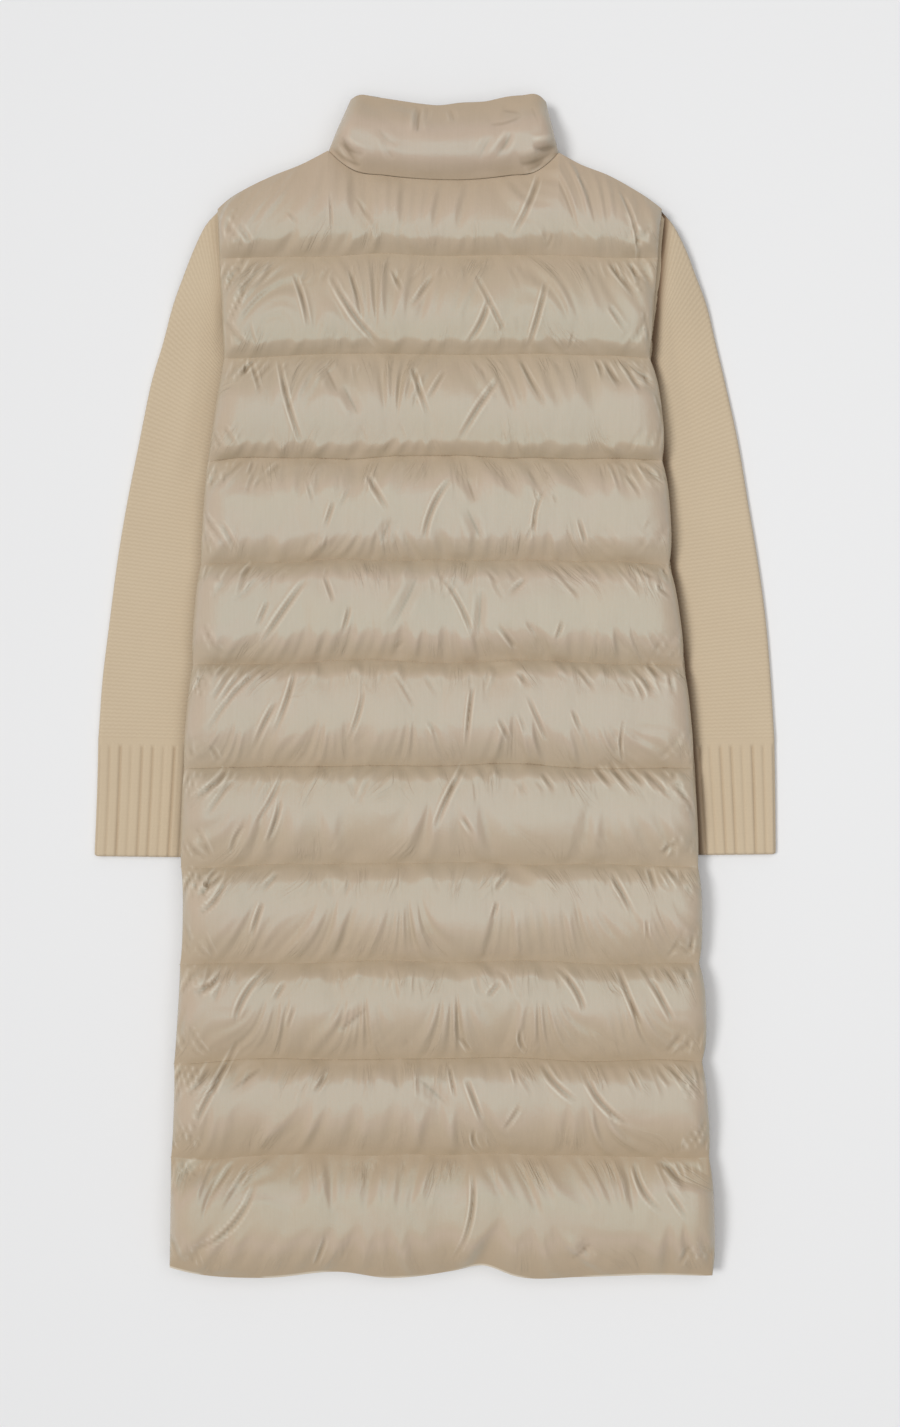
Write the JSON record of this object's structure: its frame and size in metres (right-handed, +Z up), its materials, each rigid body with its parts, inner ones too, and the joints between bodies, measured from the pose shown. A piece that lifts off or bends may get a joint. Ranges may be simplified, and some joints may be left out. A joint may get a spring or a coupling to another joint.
{
  "type": "long puffer coat",
  "caption": "Long quilted down coat with a padded stand collar and knitted sleeves with ribbed cuffs, lying flat on its front with its back up.",
  "frame": {"origin": "under the middle of the coat's outline, on the surface that it lies on", "axes": "+Y up the coat from hem to collar, +Z up from the surface, out of the coat's back; +X to the right seen from above, towards the wearer's right sleeve"},
  "size_m": [0.682, 1.1798, 0.0457],
  "materials": {
    "shell_fabric": "smooth shot nylon with a satin sheen, quilted over down",
    "knit": "matt fine-gauge wool knit",
    "zip_tape": "woven tape with a moulded chain",
    "zip_metal": "satin"
  },
  "bodies": {
    "root": {"back_panel": "shell_fabric", "front_left": "shell_fabric", "front_right": "shell_fabric", "collar": "shell_fabric", "sleeve_left": "knit", "sleeve_right": "knit", "cuff_left": "knit", "cuff_right": "knit", "front_zip": "zip_tape", "zip_slider": "zip_metal"}
  },
  "joints": []
}
